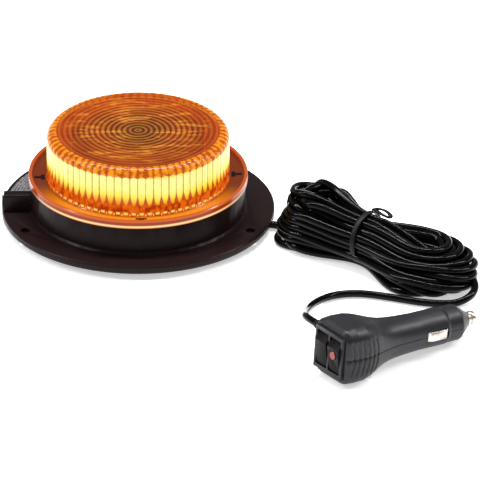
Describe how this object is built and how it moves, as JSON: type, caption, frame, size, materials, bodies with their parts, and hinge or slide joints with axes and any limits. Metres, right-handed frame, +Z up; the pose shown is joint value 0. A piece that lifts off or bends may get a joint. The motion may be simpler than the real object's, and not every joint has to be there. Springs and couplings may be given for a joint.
{
  "type": "amber warning beacon",
  "caption": "Low amber warning beacon with a fluted dome on a round flanged magnetic base, wired through a tied cord to a vehicle socket plug with rocker switches.",
  "frame": {"origin": "centre of the lamp's base on the surface it stands on", "axes": "+Z up along the lamp's axis, -Y towards the viewer of the picture, +X to the side that the cord leaves from"},
  "size_m": [0.2661, 0.2821, 0.054],
  "materials": {
    "housing": "satin black moulded plastic",
    "amber": "clear amber polycarbonate, fluted",
    "rubber": "matte black",
    "label": "silver grey printed film",
    "screws": "zinc plated",
    "plated_steel": "zinc plated",
    "ferrite": "dark grey sintered",
    "wire": "insulated wire",
    "connector": "moulded nylon",
    "circuit_board": "white solder mask",
    "capacitor": "sleeved can",
    "chip": "moulded package",
    "brass": "plain",
    "aluminium": "plain extruded",
    "led": "phosphor lens",
    "cord": "glossy black PVC jacket",
    "tie": "black plastic-coated wire",
    "plug_case": "satin black moulded plastic",
    "bezel": "gloss black",
    "rocker": "gloss black",
    "red_lens": "red translucent",
    "fuse_glass": "glass tube fuse",
    "nickel": "nickel plated brass"
  },
  "bodies": {
    "beacon": {"base_housing": "housing", "board_screws": "screws", "bottom_cover": "housing", "cable_gland": "rubber", "cap_screws": "screws", "cap_spacers": "brass", "capacitors": "capacitor", "contact_spring": "plated_steel", "controller_chip": "chip", "cord_hank": "cord", "cord_lead": "cord", "cord_tail": "cord", "cord_tie": "tie", "cover_screws": "screws", "driver_board": "circuit_board", "duct_plug": "rubber", "inductor": "ferrite", "lamp_leads": "wire", "lead_connector": "connector", "led_boards": "circuit_board", "led_tower": "aluminium", "leds": "led", "lens_dome": "amber", "lens_seal": "rubber", "magnet_boot": "rubber", "magnet_cup": "plated_steel", "magnet_nut": "plated_steel", "magnet_ring": "ferrite", "magnet_screw": "plated_steel", "mode_switch": "connector", "nose_ring": "plug_case", "plug_board": "circuit_board", "plug_leads": "wire", "plug_shell_lower": "plug_case", "plug_shell_upper": "plug_case", "plug_strain_relief": "rubber", "power_switch": "connector", "power_transistors": "chip", "rating_label": "label", "rear_contact": "brass", "shell_screws": "screws", "switch_bezel": "bezel", "tower_cap": "aluminium", "tower_plate": "aluminium", "tower_screws": "screws", "tower_spacers": "brass"},
    "power_rocker": {"power_rocker": "rocker", "power_lens": "red_lens"},
    "mode_rocker": {"mode_rocker": "rocker"},
    "tip_contact": {"tip_contact": "nickel", "fuse": "fuse_glass"},
    "side_contact_near": {"side_contact_near": "nickel"},
    "side_contact_far": {"side_contact_far": "nickel"}
  },
  "joints": [
    {"name": "power_rocker_press", "type": "hinge", "parent": "beacon", "child": "power_rocker", "pos_m": [0.11053, -0.19852, 0.01758], "axis": [-0.5948, 0.8039, 0], "range_deg": [0, 10]},
    {"name": "mode_rocker_press", "type": "hinge", "parent": "beacon", "child": "mode_rocker", "pos_m": [0.10387, -0.18952, 0.01758], "axis": [-0.5948, 0.8039, 0], "range_deg": [0, 10], "stiffness_Nm_per_rad": 0.05, "springref_deg": -2.86},
    {"name": "tip_contact_slide", "type": "slide", "parent": "beacon", "child": "tip_contact", "axis": [-0.8008, -0.5926, 0.0866], "range_m": [0, 0.004], "stiffness_N_per_m": 1500, "springref_m": -0.001},
    {"name": "side_contact_near_slide", "type": "slide", "parent": "beacon", "child": "side_contact_near", "axis": [-0.5948, 0.8039, 0], "range_m": [0, 0.001], "stiffness_N_per_m": 1200, "springref_m": -0.0005},
    {"name": "side_contact_far_slide", "type": "slide", "parent": "beacon", "child": "side_contact_far", "axis": [0.5948, -0.8039, 0], "range_m": [0, 0.001], "stiffness_N_per_m": 1200, "springref_m": -0.0005}
  ]
}
